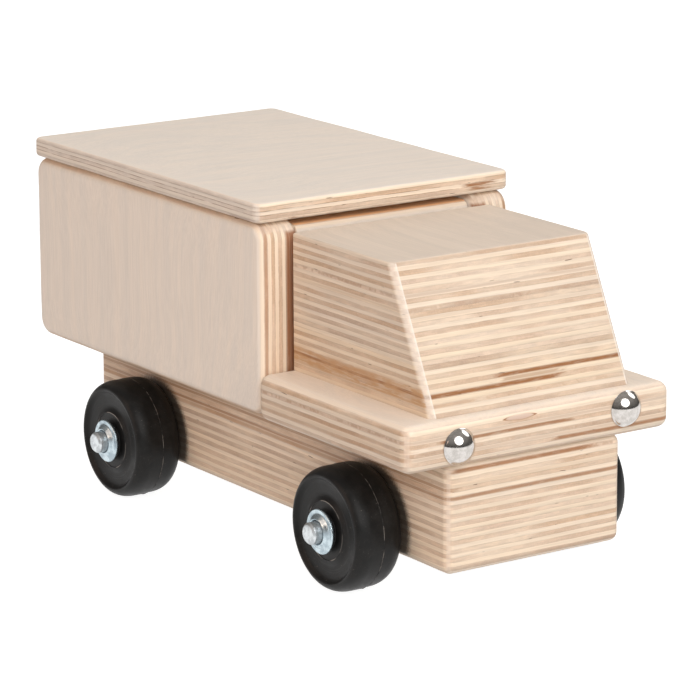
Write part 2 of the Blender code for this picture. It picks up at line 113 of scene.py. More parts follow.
def put(thing):
    """Adds an object to the scene."""
    bpy.context.scene.collection.objects.link(thing)


def make_camera():
    data = bpy.data.cameras.new("camera")
    data.lens = VIEW_LENS
    data.sensor_width = SENSOR_WIDTH
    data.clip_start, data.clip_end = CLIP
    camera = bpy.data.objects.new("camera", data)
    put(camera)
    level = math.cos(VIEW_ELEVATION)
    back = Vector((math.sin(VIEW_AZIMUTH) * level, -math.cos(VIEW_AZIMUTH) * level, math.sin(VIEW_ELEVATION)))
    right = Vector((math.cos(VIEW_AZIMUTH), math.sin(VIEW_AZIMUTH), 0.0))
    up = back.cross(right)
    rolled_right = right * math.cos(VIEW_ROLL) + up * math.sin(VIEW_ROLL)
    rolled_up = up * math.cos(VIEW_ROLL) - right * math.sin(VIEW_ROLL)
    turn = Matrix((rolled_right, rolled_up, back)).transposed()
    camera.matrix_world = Matrix.Translation(VIEW_TARGET + back * VIEW_DISTANCE) @ turn.to_4x4()
    bpy.context.scene.camera = camera


def make_floor():
    """A pale matt floor that glows almost white, and lights the truck far less than it shows."""
    material = bpy.data.materials.new("white_floor")
    material.use_nodes = True
    tree = material.node_tree
    shader = tree.nodes["Principled BSDF"]
    shader.inputs["Base Color"].default_value = (FLOOR_GREY, FLOOR_GREY, FLOOR_GREY, 1.0)
    shader.inputs["Roughness"].default_value = 0.9
    shader.inputs["Specular IOR Level"].default_value = 0.1
    shader.inputs["Emission Color"].default_value = WHITE
    path = tree.nodes.new("ShaderNodeLightPath")
    glow = tree.nodes.new("ShaderNodeMix")
    glow.inputs[2].default_value = FLOOR_GLOW
    glow.inputs[3].default_value = FLOOR_BOUNCE
    tree.links.new(path.outputs["Is Diffuse Ray"], glow.inputs[0])
    tree.links.new(glow.outputs[0], shader.inputs["Emission Strength"])
    shape = bmesh.new()
    bmesh.ops.create_grid(shape, x_segments=1, y_segments=1, size=FLOOR_HALF)
    mesh = bpy.data.meshes.new("floor")
    shape.to_mesh(mesh)
    shape.free()
    mesh.materials.append(material)
    floor = bpy.data.objects.new("floor", mesh)
    put(floor)


def make_lights():
    for name, (direction, distance, size, power, colour, mirrored) in LIGHTS.items():
        data = bpy.data.lights.new(name, "AREA")
        data.shape = "DISK"
        data.size = size
        data.energy = power
        data.color = colour
        lamp = bpy.data.objects.new(name, data)
        put(lamp)
        away = Vector(direction).normalized() * distance
        lamp.location = LIT_POINT + away
        lamp.rotation_mode = "QUATERNION"
        lamp.rotation_quaternion = (-away).to_track_quat("-Z", "Y")
        lamp.visible_glossy = mirrored


def make_world():
    """White as seen, a faint warm surround as it lights, and brighter upwards as it is mirrored."""
    world = bpy.data.worlds.new("studio")
    bpy.context.scene.world = world
    world.use_nodes = True
    tree = world.node_tree
    surround = tree.nodes["Background"]
    surround.inputs["Color"].default_value = AMBIENT_COLOUR
    surround.inputs["Strength"].default_value = AMBIENT
    mirrored = tree.nodes.new("ShaderNodeBackground")
    mirrored.inputs["Color"].default_value = MIRRORED_COLOUR
    coords = tree.nodes.new("ShaderNodeTexCoord")
    parts = tree.nodes.new("ShaderNodeSeparateXYZ")
    height = tree.nodes.new("ShaderNodeMapRange")
    height.inputs["From Min"].default_value = 0.0
    height.inputs["From Max"].default_value = MIRRORED_TOP
    height.inputs["To Min"].default_value = MIRRORED_LOW
    height.inputs["To Max"].default_value = MIRRORED_HIGH
    tree.links.new(coords.outputs["Generated"], parts.inputs[0])
    tree.links.new(parts.outputs["Z"], height.inputs["Value"])
    tree.links.new(height.outputs[0], mirrored.inputs["Strength"])
    seen = tree.nodes.new("ShaderNodeBackground")
    seen.inputs["Color"].default_value = WHITE
    path = tree.nodes.new("ShaderNodeLightPath")
    result = seen
    for kind, shader in (("Is Diffuse Ray", surround), ("Is Glossy Ray", mirrored)):
        mixed = tree.nodes.new("ShaderNodeMixShader")
        tree.links.new(path.outputs[kind], mixed.inputs[0])
        tree.links.new(result.outputs[0], mixed.inputs[1])
        tree.links.new(shader.outputs[0], mixed.inputs[2])
        result = mixed
    tree.links.new(result.outputs[0], tree.nodes["World Output"].inputs["Surface"])


make_camera()
make_floor()
make_lights()
make_world()
bpy.context.scene.view_settings.view_transform = "Standard"

# ------------ node trees


class Graph:
    """A material's node tree. Each call adds one node, and takes sockets or plain numbers."""

    def __init__(self, name):
        self.material = bpy.data.materials.new(name)
        self.material.use_nodes = True
        self.tree = self.material.node_tree
        self.shader = self.tree.nodes["Principled BSDF"]

    def node(self, kind, inputs, **settings):
        made = self.tree.nodes.new(kind)
        for key, value in settings.items():
            setattr(made, key, value)
        for key, value in inputs.items():
            if isinstance(value, bpy.types.NodeSocket):
                self.tree.links.new(value, made.inputs[key])
            else:
                made.inputs[key].default_value = value
        return made

    def place_mm(self):
        """Where a point is in the row frame, in mm, and its piece's normal there."""
        coords = self.node("ShaderNodeTexCoord", {})
        return self.vector("MULTIPLY", coords.outputs["Object"], (PER_METRE,) * 3), coords.outputs["Normal"]

    def math(self, operation, a, b=0.0, c=0.0):
        return self.node("ShaderNodeMath", {0: a, 1: b, 2: c}, operation=operation).outputs[0]

    def times(self, first, *others):
        for other in others:
            first = self.math("MULTIPLY", first, other)
        return first

    def apart(self, a, b):
        """How far apart two numbers are."""
        return self.math("ABSOLUTE", self.math("SUBTRACT", a, b))

    def centred(self, value, spread):
        """A value of 0 to 1, spread evenly about zero."""
        return self.math("MULTIPLY_ADD", value, spread, -spread / 2)

    def radius(self, a, b):
        return self.math("POWER", self.math("ADD", self.times(a, a), self.times(b, b)), 0.5)

    def vector(self, operation, a, b):
        return self.node("ShaderNodeVectorMath", {0: a, 1: b}, operation=operation).outputs[0]

    def split(self, vector):
        return self.node("ShaderNodeSeparateXYZ", {0: vector}).outputs

    def join(self, x, y, z):
        return self.node("ShaderNodeCombineXYZ", {0: x, 1: y, 2: z}).outputs[0]

    def ramp(self, value, low, high, start=0.0, end=1.0):
        """Rises smoothly from start to end as value goes from low to high."""
        inputs = {0: value, 1: low, 2: high, 3: start, 4: end}
        return self.node("ShaderNodeMapRange", inputs, interpolation_type="SMOOTHSTEP").outputs[0]

    def mix(self, factor, a, b, blend="MIX"):
        """Mixes two colours."""
        inputs = {0: factor, 6: a, 7: b}
        return self.node("ShaderNodeMix", inputs, data_type="RGBA", blend_type=blend).outputs[2]

    def blend(self, factor, a, b):
        """Mixes two numbers."""
        return self.node("ShaderNodeMix", {0: factor, 2: a, 3: b}, data_type="FLOAT").outputs[0]

    def noise(self, vector, scale, detail=2.0, roughness=0.5):
        inputs = {"Vector": vector, "Scale": scale, "Detail": detail, "Roughness": roughness}
        return self.node("ShaderNodeTexNoise", inputs).outputs[0]

    def chance(self, value):
        """One random number for each whole value."""
        return self.node("ShaderNodeTexWhiteNoise", {"W": value}, noise_dimensions="1D").outputs[0]

    def shade(self, colour, scale):
        """A colour made lighter or darker by a number."""
        return self.mix(1.0, colour, self.join(scale, scale, scale), "MULTIPLY")

    def finish(self, colour, roughness, height, depth, **constants):
        """Wires the surface. Height is 0 to 1 and depth is what 1 stands for, in metres."""
        inputs = {"Height": height, "Distance": depth, "Strength": 1.0}
        bump = self.node("ShaderNodeBump", inputs).outputs[0]
        self.tree.links.new(colour, self.shader.inputs["Base Color"])
        self.tree.links.new(roughness, self.shader.inputs["Roughness"])
        self.tree.links.new(bump, self.shader.inputs["Normal"])
        for key, value in constants.items():
            self.shader.inputs[key.replace("_", " ")].default_value = value
        return self.material


def rgb(red, green, blue):
    return (red, green, blue, 1.0)


def scales(across, axis, along):
    """A noise's scales: along on one axis, and across on the other two."""
    made = [across] * 3
    made[axis] = along
    return tuple(made)


# ------------ plywood

LONG_PALE = rgb(0.84, 0.715, 0.595)
LONG_WARM = rgb(0.81, 0.65, 0.48)
END_PALE = rgb(0.70, 0.535, 0.415)
END_WARM = rgb(0.61, 0.42, 0.28)
END_GREY = rgb(0.54, 0.41, 0.32)
FACE_PALE = rgb(0.82, 0.74, 0.66)
FACE_WARM = rgb(0.77, 0.65, 0.54)
HEART = rgb(0.32, 0.14, 0.055)
GLUE = rgb(0.30, 0.18, 0.11)
# paler sanded wood with a painted sheen, on rounded edges and along the cab's crease
SANDED_AND_SHEEN = rgb(0.88, 0.81, 0.73)
# painted shade inside the open voids
VOID_SHADE = rgb(0.13, 0.07, 0.04)
KNOT = rgb(0.60, 0.44, 0.36)
# painted shade: the warm bounced light in the gap under the lid
UNDER_LID_SHADE = rgb(0.86, 0.46, 0.22)
# painted shade: the dark brown of the shaded slit beside the cab
BESIDE_CAB_SHADE = rgb(0.30, 0.12, 0.05)
STAIN = rgb(0.55, 0.32, 0.16)
# rub marks and painted shadow where the wheels shade the chassis
RUB_MARK_AND_SHADOW = rgb(0.035, 0.028, 0.022)
DULL = rgb(0.66, 0.63, 0.60)

SWAY = 0.55                  # mm, how far the glue lines wander
UNEVEN = 0.18                # how uneven the veneers are, as a share of one
SEAM = (0.17, 0.03)          # mm from a glue line, where it starts to show and where it is darkest
STREAK_FRAY = 16.0           # mm, how far a streak's ends wander
STREAK_FADE = 2.5            # mm, half the length over which they fade
# where the painted gap shade starts and is full along X, and how much of it a flat top gets
GAP_SHADE_FROM = (12.0, 20.0)     # mm along X, where a gap's tint starts and where it is full
LEVEL_GAP_SHADE = 0.8             # how much of it a flat top gets
WOOD_RELIEF = 0.05 * MM


def streak(g, streaks, layer, spot, frayed):
    """Bands of brown heartwood. Each is (layer, axis, low, high, strength), with its ends along the axis."""
    amount = 0.0
    for number, axis, low, high, strength in streaks:
        across = g.math("ADD", spot[axis], g.centred(frayed, STREAK_FRAY))
        begun = g.ramp(across, low - STREAK_FADE, low + STREAK_FADE)
        ended = g.ramp(across, high + STREAK_FADE, high - STREAK_FADE)
        same = g.math("COMPARE", layer, float(number), 0.5)
        amount = g.math("MAXIMUM", amount, g.times(begun, ended, same, strength))
    return amount


def worn(g, colour, spot, facing, frayed, crease):
    """A crisp edge at crease on either side of the middle, paler from wear and with a painted highlight along
    it.
    """
    offset = g.apart(g.math("ABSOLUTE", spot[Y]), crease)
    worn_and_highlight = g.times(g.ramp(offset, 0.34, 0.10), g.ramp(facing[X], 0.5, 0.7))
    return g.mix(g.times(worn_and_highlight, g.ramp(frayed, 0.3, 0.6, 0.35, 0.8)), colour, SANDED_AND_SHEEN)


def knotted(g, colour, spot, facing, frayed, knot):
    """A knot on the front, pointed at both ends, with a dark rim."""
    knot_y, knot_z, half_length, half_height = knot
    along_knot = g.math("DIVIDE", g.math("SUBTRACT", spot[Y], knot_y), half_length)
    lift = g.math("DIVIDE", g.math("SUBTRACT", spot[Z], knot_z), half_height)
    lift = g.math("ADD", lift, g.centred(frayed, 0.5))
    pointed = g.times(along_knot, along_knot)
    ring = g.math("ADD", pointed, g.math("ABSOLUTE", lift))
    front = g.ramp(facing[X], 0.8, 0.95)
    colour = g.mix(g.times(g.ramp(ring, 1.05, 0.80, 0.0, 0.85), front), colour, KNOT)
    rim = g.times(g.ramp(g.apart(ring, 1.0), 0.30, 0.08), front)
    return g.mix(g.times(rim, g.ramp(pointed, 0.4, 0.9, 0.35, 1.0)), colour, HEART)


def painted_gap_shade(g, colour, spot, facing, edge_on, texture, gap):
    """Painted shade: the warm, dim colour that bounced light gives a narrow gap next to the cab, on edges
    that face forward.
    """
    axis, start, full, tint, ceiling = gap
    gap_shade_mask = g.times(g.ramp(spot[axis], start, full), g.ramp(texture, 0.25, 0.50, 0.70, 1.0), edge_on,
                   g.ramp(spot[X], *GAP_SHADE_FROM, 0.0, 0.92))
    forward = g.ramp(facing[X], 0.02, 0.16, LEVEL_GAP_SHADE if axis == Z else 0.0, 1.0)
    below = g.ramp(spot[Z], ceiling + 0.5, ceiling - 1.0)
    return g.mix(g.times(gap_shade_mask, g.times(forward, below)), colour, tint)


def stained(g, colour, spot, side_on, frayed, checks, stain):
    """A browned band along the sides, from a low to a high z."""
    low, high = stain
    soaked = g.times(g.ramp(spot[Z], low - 0.4, low + 0.4), g.ramp(spot[Z], high + 1.6, high - 1.0), side_on,
                     g.ramp(frayed, 0.36, 0.58, 0.30, 0.95))
    return g.mix(g.times(soaked, g.ramp(checks, 0.3, 0.6, 0.4, 1.0)), colour, STAIN)


def rub_marks_and_shadows(g, colour, spot, side_on, pores, rubs_and_shadows):
    """Round dark marks about the wheels on the sides: rub marks from the tyres and painted wheel shadow.
    Each is (x, z, reach).
    """
    for wheel_x, wheel_z, reach in rubs_and_shadows:
        far = g.radius(g.math("SUBTRACT", spot[X], wheel_x), g.math("SUBTRACT", spot[Z], wheel_z))
        far = g.math("ADD", far, g.centred(pores, 3.0))
        grime_and_shadow = g.times(g.ramp(far, reach + 1.0, reach - 2.6, 0.0, 0.92), side_on)
        colour = g.mix(grime_and_shadow, colour, RUB_MARK_AND_SHADOW)
    return colour


def plywood(
    name, stack, grains, span, count, seed, streaks=(), glue=0.30, contrast=1.0, warm=0.3, veneer=0.4,
    sanded=0.2, crease=None, knot=None, gap=None, greyed=0.0, shade=1.0, side_shade=1.0, stain=None, rubs_and_shadows=(),
):
    """Birch plywood: count veneers along the stack axis, which fill the span in metres. Marks are in mm.

    grains are the grain axes of the even and the odd veneers. glue, contrast, warm, veneer, sanded and greyed
    say how strong the glue lines, the end grain, the edges' and the faces' warmth, the sanded corners (paler,
    with a painted sheen) and the sides' grey are. shade scales the board's colour and side_shade its sides'.
    The marks are streaks, crease (how far from the middle, along Y, a crisp edge runs, worn pale with a
    painted highlight), knot (y, z, half length, half height), gap (axis, start, full, tint, ceiling: painted
    shade in a narrow gap), stain and rubs_and_shadows (wheel rub marks and painted wheel shadow), as the
    functions above take them.
    """
    base = span[0] / MM
    ply = (span[1] - span[0]) / MM / count
    g = Graph(name)
    place, normal = g.place_mm()
    spot = g.split(place)
    facing = g.split(g.vector("ABSOLUTE", normal, (0.0, 0.0, 0.0)))
    face = g.ramp(facing[stack], 0.75, 0.97)
    edge_on = g.math("SUBTRACT", 1.0, face)
    side_on = g.ramp(facing[Y], 0.80, 0.95)
    widest = g.math("MAXIMUM", facing[X], g.math("MAXIMUM", facing[Y], facing[Z]))
    rounding = g.ramp(widest, 0.885, 0.79)
    if crease is not None:
        rounding = g.times(g.ramp(facing[X], 0.08, 0.60), g.ramp(facing[Y], 0.28, 0.40))

    # which veneer a point is in, and how far up it
    slow = g.vector("MULTIPLY", place, scales(0.03, stack, 0.09))
    sway = g.centred(g.noise(slow, 1.0, 2.0), SWAY)
    raised = g.math("DIVIDE", g.math("ADD", g.math("SUBTRACT", spot[stack], base), sway), ply)
    bunched = g.noise(g.join(g.times(raised, 0.45), seed, 0.0), 1.0, 1.0)
    raised = g.math("ADD", raised, g.centred(bunched, 2 * UNEVEN))
    raised = g.math("MINIMUM", g.math("MAXIMUM", raised, 0.02), count - 0.02)
    layer = g.math("FLOOR", raised)
    within = g.math("SUBTRACT", raised, layer)
    odd = g.math("FLOORED_MODULO", layer, 2.0)
    seeded = g.math("ADD", layer, seed)
    tone = g.chance(seeded)
    other_tone = g.chance(g.math("ADD", seeded, 40.5))

    # fibres, growth bands, pores and slow changes
    curl = g.times(g.centred(g.noise(place, 0.011, 1.0), 44.0), face)
    curled = g.vector("ADD", place, g.join(curl, curl, curl))
    stretch = [rgb(*scales(1.7, grain, 0.05)) for grain in grains]
    fibre_place = g.vector("MULTIPLY", curled, g.mix(odd, *stretch))
    fibre_place = g.vector("ADD", fibre_place, g.join(0.0, 0.0, g.times(seeded, 7.3)))
    fibre = g.noise(fibre_place, 1.0, 3.0, 0.65)
    band = g.noise(fibre_place, 0.13, 2.0)
    pores = g.noise(place, 1.5, 2.0, 0.7)
    checks = g.noise(g.vector("MULTIPLY", place, scales(0.20, stack, 2.2)), 1.0, 3.0, 0.6)
    calm = g.noise(g.vector("ADD", slow, (seed, 0.0, 0.0)), 1.3, 1.0)
    drifting = g.join(g.times(spot[grains[0]], 0.028), g.times(spot[grains[1]], 0.028), g.times(seeded, 5.1))
    drift = g.noise(drifting, 1.0, 2.0)
    frayed = g.noise(g.vector("MULTIPLY", place, (0.12, 0.12, 0.5)), 1.0, 3.0, 0.6)

    # long grain, end grain and face veneer
    end = g.ramp(g.blend(odd, facing[grains[0]], facing[grains[1]]), 0.35, 0.75)
    texture = g.blend(end, fibre, checks)
    long_tone = g.math("MULTIPLY_ADD", band, 0.9, g.math("MULTIPLY_ADD", tone, 0.5, warm - 0.6))
    long_colour = g.mix(long_tone, LONG_PALE, LONG_WARM)
    end_tone = g.math("MULTIPLY_ADD", drift, 0.9, g.math("MULTIPLY_ADD", other_tone, 0.7, warm - 0.75))
    end_colour = g.mix(end_tone, END_PALE, END_WARM)
    end_colour = g.mix(g.ramp(tone, 0.60, 0.85, 0.0, 0.6), end_colour, END_GREY)
    end_colour = g.shade(end_colour, g.ramp(pores, 0.30, 0.70, 0.95, 1.04))
    amount = g.times(g.ramp(calm, 0.34, 0.58, 0.65, 1.0), contrast, g.ramp(drift, 0.32, 0.60, 0.50, 1.08))
    colour = g.mix(g.times(end, amount), long_colour, end_colour)
    face_colour = g.mix(g.math("MULTIPLY_ADD", band, 0.9, veneer - 0.45), FACE_PALE, FACE_WARM)
    colour = g.mix(face, colour, face_colour)

    # heartwood and glue lines
    wild = g.noise(g.join(g.times(seeded, 3.7), g.times(band, 2.0), 0.0), 1.3, 1.0)
    heart = g.math("MAXIMUM", streak(g, streaks, layer, spot, frayed), g.ramp(wild, 0.62, 0.76, 0.0, 0.40))
    core = g.ramp(g.apart(within, 0.5), 0.48, 0.24, 0.12, 1.0)
    heart = g.times(heart, core, g.ramp(texture, 0.30, 0.52, 0.62, 1.0))
    colour = g.mix(g.times(heart, edge_on), colour, HEART)
    if greyed:
        colour = g.mix(g.times(g.ramp(facing[Y], 0.4, 0.8), greyed), colour, DULL)
    nearest = g.math("MINIMUM", within, g.math("SUBTRACT", 1.0, within))
    line = g.math("FLOOR", g.math("ADD", raised, 0.5))
    strong = g.math("MULTIPLY_ADD", g.chance(g.math("ADD", line, seed + 17.5)), 0.9, 0.35)
    seam = g.times(g.ramp(g.times(nearest, ply), *SEAM), edge_on, g.times(strong, g.ramp(frayed, 0.3, 0.6)))
    colour = g.mix(g.times(seam, glue), colour, GLUE)

    # light and dark from the grain, and paler sanded corners with a painted sheen
    colour = g.shade(colour, g.blend(g.times(face, 0.45), g.ramp(texture, 0.25, 0.75, 0.90, 1.07), 1.0))
    lean = g.times(g.math("SUBTRACT", within, 0.5), g.centred(tone, 0.24))
    colour = g.shade(colour, g.math("ADD", 1.0, g.times(lean, edge_on)))
    colour = g.shade(colour, g.ramp(band, 0.25, 0.75, 0.95, 1.04))
    sanded_sheen_mask = g.times(rounding, g.ramp(fibre, 0.2, 0.7, 1.2 * sanded, 0.8 * sanded))
    colour = g.mix(sanded_sheen_mask, colour, SANDED_AND_SHEEN)

    if crease is not None:
        # the pillars' crisp edge: wear and a painted highlight
        colour = worn(g, colour, spot, facing, frayed, crease)
    if knot is not None:
        colour = knotted(g, colour, spot, facing, frayed, knot)
    if gap is not None:
        # painted shade in the narrow gaps under the lid and beside the cab
        colour = painted_gap_shade(g, colour, spot, facing, edge_on, texture, gap)
    if stain is not None:
        colour = stained(g, colour, spot, side_on, frayed, checks, stain)
    # wheel rub marks and painted wheel shadow on the sides
    colour = rub_marks_and_shadows(g, colour, spot, side_on, pores, rubs_and_shadows)
    colour = g.shade(colour, g.blend(side_on, shade, shade * side_shade))

    # small open voids between the veneers, painted dark with the shade inside them
    slit_place = g.vector("ADD", g.vector("MULTIPLY", place, scales(0.16, stack, 1.6)), (seed, 0.0, 0.0))
    void = g.times(g.ramp(g.noise(slit_place, 1.0, 1.0), 0.755, 0.785), edge_on, g.ramp(nearest, 0.34, 0.14))
    colour = g.mix(g.times(void, 0.8), colour, VOID_SHADE)

    relief = g.math("MULTIPLY_ADD", fibre, 0.5, 0.5)
    relief = g.math("SUBTRACT", relief, g.times(seam, 0.35))
    relief = g.math("SUBTRACT", relief, void)
    roughness = g.math("ADD", g.blend(end, 0.46, 0.58), g.centred(fibre, 0.16))
    return g.finish(colour, roughness, relief, WOOD_RELIEF, Specular_IOR_Level=0.35)


# ------------ rubber and metals

HALF_WHEEL = 8.8 * MM
WHEEL_SHOULDER = 5.3 * MM
DISH = 1.6 * MM              # how far the wheel's face is sunk inside its rim
PARTING = -0.5 * MM          # the mould's parting line, from the middle of the tread
FLASH_RING = 9.6 * MM        # the radius of a torn ring of flash on the face

BLACK = rgb(0.004, 0.004, 0.004)
WORN_BLACK = rgb(0.011, 0.0105, 0.010)
DUST = rgb(0.18, 0.17, 0.17)
WIPED = rgb(0.14, 0.14, 0.15)
SPECK = rgb(0.34, 0.30, 0.26)
SEAM_PALE = rgb(0.34, 0.31, 0.28)
TORN_PALE = rgb(0.36, 0.33, 0.30)
RUBBER_RELIEF = 0.08 * MM

METALS = {
    # kind: (pale, dark, least and most roughness, clouds, relief in mm)
    "washer_zinc": (rgb(0.56, 0.66, 0.71), rgb(0.37, 0.45, 0.50), 0.20, 0.40, 0.45, 0.03),
    "rod_zinc": (rgb(0.68, 0.72, 0.74), rgb(0.46, 0.49, 0.51), 0.30, 0.48, 0.60, 0.02),
    "nickel": (rgb(0.64, 0.61, 0.585), rgb(0.52, 0.49, 0.46), 0.07, 0.15, 0.50, 0.004),
    "screw_steel": (rgb(0.62, 0.61, 0.58), rgb(0.46, 0.45, 0.43), 0.26, 0.44, 0.90, 0.02),
    "drawn_steel": (rgb(0.57, 0.56, 0.54), rgb(0.49, 0.48, 0.47), 0.28, 0.40, 0.35, 0.01),
    "plain_zinc": (rgb(0.64, 0.68, 0.71), rgb(0.48, 0.52, 0.56), 0.28, 0.44, 0.50, 0.02),
}


def rubber(name, centre, side):
    """Black moulded rubber, dusty and scuffed, with rings about its own axle. Places are in mm."""
    g = Graph(name)
    place = g.vector("SUBTRACT", g.place_mm()[0], tuple(centre))
    spot = g.split(place)
    reach = g.radius(spot[X], spot[Z])
    turn = g.math("ARCTAN2", spot[Z], spot[X])
    outward = g.times(spot[Y], side)

    cloud = g.noise(place, 0.22, 4.0, 0.6)
    fine = g.noise(place, 2.0, 3.0, 0.65)
    ringed = g.noise(g.join(g.times(reach, 1.6), g.times(turn, 0.5), 0.0), 1.0, 3.0, 0.65)
    swept = g.noise(g.join(g.times(turn, 5.0), g.times(outward, 0.12), reach), 1.0, 3.0, 0.6)

    colour = g.mix(g.ramp(cloud, 0.35, 0.75), BLACK, WORN_BLACK)
    dust = g.times(g.ramp(fine, 0.60, 0.78), g.ramp(cloud, 0.44, 0.62))
    colour = g.mix(g.times(dust, 0.30), colour, DUST)
    wiped = g.times(g.ramp(ringed, 0.55, 0.75), g.ramp(reach, 18.5, 17.0))
    colour = g.mix(g.times(wiped, 0.13), colour, WIPED)
    specks = g.times(g.ramp(g.noise(place, 1.7, 1.0), 0.75, 0.79), g.ramp(cloud, 0.45, 0.6))
    colour = g.mix(g.times(specks, 0.40), colour, SPECK)

    seam = g.ramp(g.apart(outward, PARTING / MM), 0.22, 0.05)
    broken = g.times(seam, g.ramp(swept, 0.42, 0.60), g.ramp(reach, 19.0, 19.8))
    colour = g.mix(g.times(broken, 0.45), colour, SEAM_PALE)

    sunk = (HALF_WHEEL - DISH) / MM
    torn = g.times(g.ramp(g.apart(reach, FLASH_RING / MM), 0.20, 0.05),
                   g.ramp(g.noise(g.join(turn, 0.0, 0.0), 1.1, 1.0), 0.46, 0.56),
                   g.ramp(outward, sunk - 0.5, sunk - 0.2))
    colour = g.mix(g.times(torn, 0.75), colour, TORN_PALE)

    relief = g.math("ADD", g.times(fine, 0.25), g.times(cloud, 0.6))
    relief = g.math("ADD", relief, g.times(ringed, 0.3))
    roughness = g.math("ADD", g.ramp(cloud, 0.3, 0.7, 0.38, 0.50), g.times(dust, 0.25))
    return g.finish(colour, roughness, relief, RUBBER_RELIEF, Specular_IOR_Level=0.21)


def metal(name, kind, axle=None):
    """Bare or plated metal, with clouds of tone and fine scratches, turned about an axle if one is given."""
    pale, dark, smooth, rough, clouds, relief_mm = METALS[kind]
    g = Graph(name)
    place = g.place_mm()[0]
    cloud = g.noise(place, clouds, 3.0, 0.6)
    if axle is None:
        fine = g.noise(place, 6.0, 2.0, 0.6)
    else:
        spot = g.split(g.vector("SUBTRACT", place, tuple(axle)))
        fine = g.noise(g.join(g.times(g.radius(spot[X], spot[Z]), 9.0), spot[Y], 0.0), 1.0, 2.0)
    colour = g.mix(g.ramp(cloud, 0.35, 0.65), pale, dark)
    colour = g.shade(colour, g.ramp(fine, 0.3, 0.7, 0.93, 1.03))
    roughness = g.ramp(g.math("ADD", g.times(cloud, 0.6), g.times(fine, 0.4)), 0.35, 0.65, smooth, rough)
    relief = g.math("ADD", g.times(fine, 0.5), g.times(cloud, 0.5))
    return g.finish(colour, roughness, relief, relief_mm * MM, Metallic=1.0)


def beech(name, axis):
    """A turned dowel's straight grain, with the short dark flecks of beech."""
    g = Graph(name)
    place = g.vector("MULTIPLY", g.place_mm()[0], scales(1.8, axis, 0.09))
    fibre = g.noise(place, 1.0, 3.0, 0.6)
    fleck = g.ramp(g.noise(place, 0.7, 1.0), 0.62, 0.70)
    colour = g.mix(g.ramp(fibre, 0.3, 0.7), rgb(0.66, 0.45, 0.29), rgb(0.56, 0.36, 0.21))
    colour = g.mix(g.times(fleck, 0.5), colour, rgb(0.33, 0.18, 0.09))
    roughness = g.ramp(fibre, 0.3, 0.7, 0.48, 0.62)
    return g.finish(colour, roughness, fibre, 0.04 * MM, Specular_IOR_Level=0.4)


# ------------ mesh helpers

SEGMENTS = 8                 # in a rounded edge
SLICE = 7.0 * MM             # between the loops cut across a board
FLAT_WAVE = 0.02 * MM        # how far the flats waver
EDGE_WAVE = 0.10 * MM        # and the sanded edges
WAVES = 70.0                 # a metre
SHARP = math.radians(30.0)


def add_piece(name, shape, material, nodes, crease=35.0):
    """Makes a piece of a bmesh. It rides on the body of the CAD nodes that it replaces."""
    bmesh.ops.recalc_face_normals(shape, faces=shape.faces)
    mesh = bpy.data.meshes.new(name)
    shape.to_mesh(mesh)
    shape.free()
    mesh.shade_smooth()
    mesh.set_sharp_from_angle(angle=math.radians(crease))
    mesh.materials.append(material)
    piece = bpy.data.objects.new(name, mesh)
    put(piece)
    weighted = piece.modifiers.new("flat_faces_stay_flat", "WEIGHTED_NORMAL")
    weighted.keep_sharp = True
    body = body_of(frame["nodes"][nodes[0]])[0]
    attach(piece, body)
    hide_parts(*nodes)


def block(low, high):
    shape = bmesh.new()
    bmesh.ops.create_cube(shape, size=1.0)
    middle = (low + high) / 2
    size = high - low
    for vertex in shape.verts:
        vertex.co = Vector([middle[i] + vertex.co[i] * size[i] for i in range(3)])
    return shape


def along(edge, axis):
    """Whether an edge runs along an axis."""
    direction = (edge.verts[1].co - edge.verts[0].co).normalized()
    return abs(direction[axis]) > 0.99


def sharp_edges(shape):
    return [e for e in shape.edges if e.calc_face_angle(0.0) > SHARP]


def round_edges(shape, edges, radius):
    bmesh.ops.bevel(
        shape, geom=edges, offset=radius, segments=SEGMENTS, profile=0.5, affect="EDGES", clamp_overlap=True
    )


def slice_up(shape, low, high, axis):
    """Cuts loops across a block, so that its long edges can waver."""
    count = max(2, round((high[axis] - low[axis]) / SLICE))
    normal = Vector([1.0 if i == axis else 0.0 for i in range(3)])
    for number in range(1, count):
        point = low.lerp(high, number / count)
        geometry = shape.verts[:] + shape.edges[:] + shape.faces[:]
        bmesh.ops.bisect_plane(shape, geom=geometry, plane_co=point, plane_no=normal, dist=1e-7)


def waver(shape, seed, edge=EDGE_WAVE):
    """Moves the surface a little, more on the sanded edges than on the flats."""
    shape.normal_update()
    moves = []
    for vertex in shape.verts:
        widest = max(abs(c) for c in vertex.normal)
        amount = FLAT_WAVE if widest > 0.999 else edge
        wave = noise.noise(vertex.co * WAVES + Vector((seed, 0.0, 0.0)))
        moves.append(vertex.normal * (wave - 0.3) * amount)
    for vertex, move in zip(shape.verts, moves):
        vertex.co += move


def board(low, high, corner_axis, corner, edge, seed):
    """A sawn board: corners rounded about one axis, then every other edge sanded round."""
    shape = block(low, high)
    if corner > edge:
        round_edges(shape, [e for e in shape.edges if along(e, corner_axis)], corner)
        round_edges(shape, sharp_edges(shape), edge)
    else:
        round_edges(shape, shape.edges[:], edge)
    for axis in (X, Y, Z):
        if high[axis] - low[axis] > 3 * SLICE:
            slice_up(shape, low, high, axis)
    waver(shape, seed)
    return shape


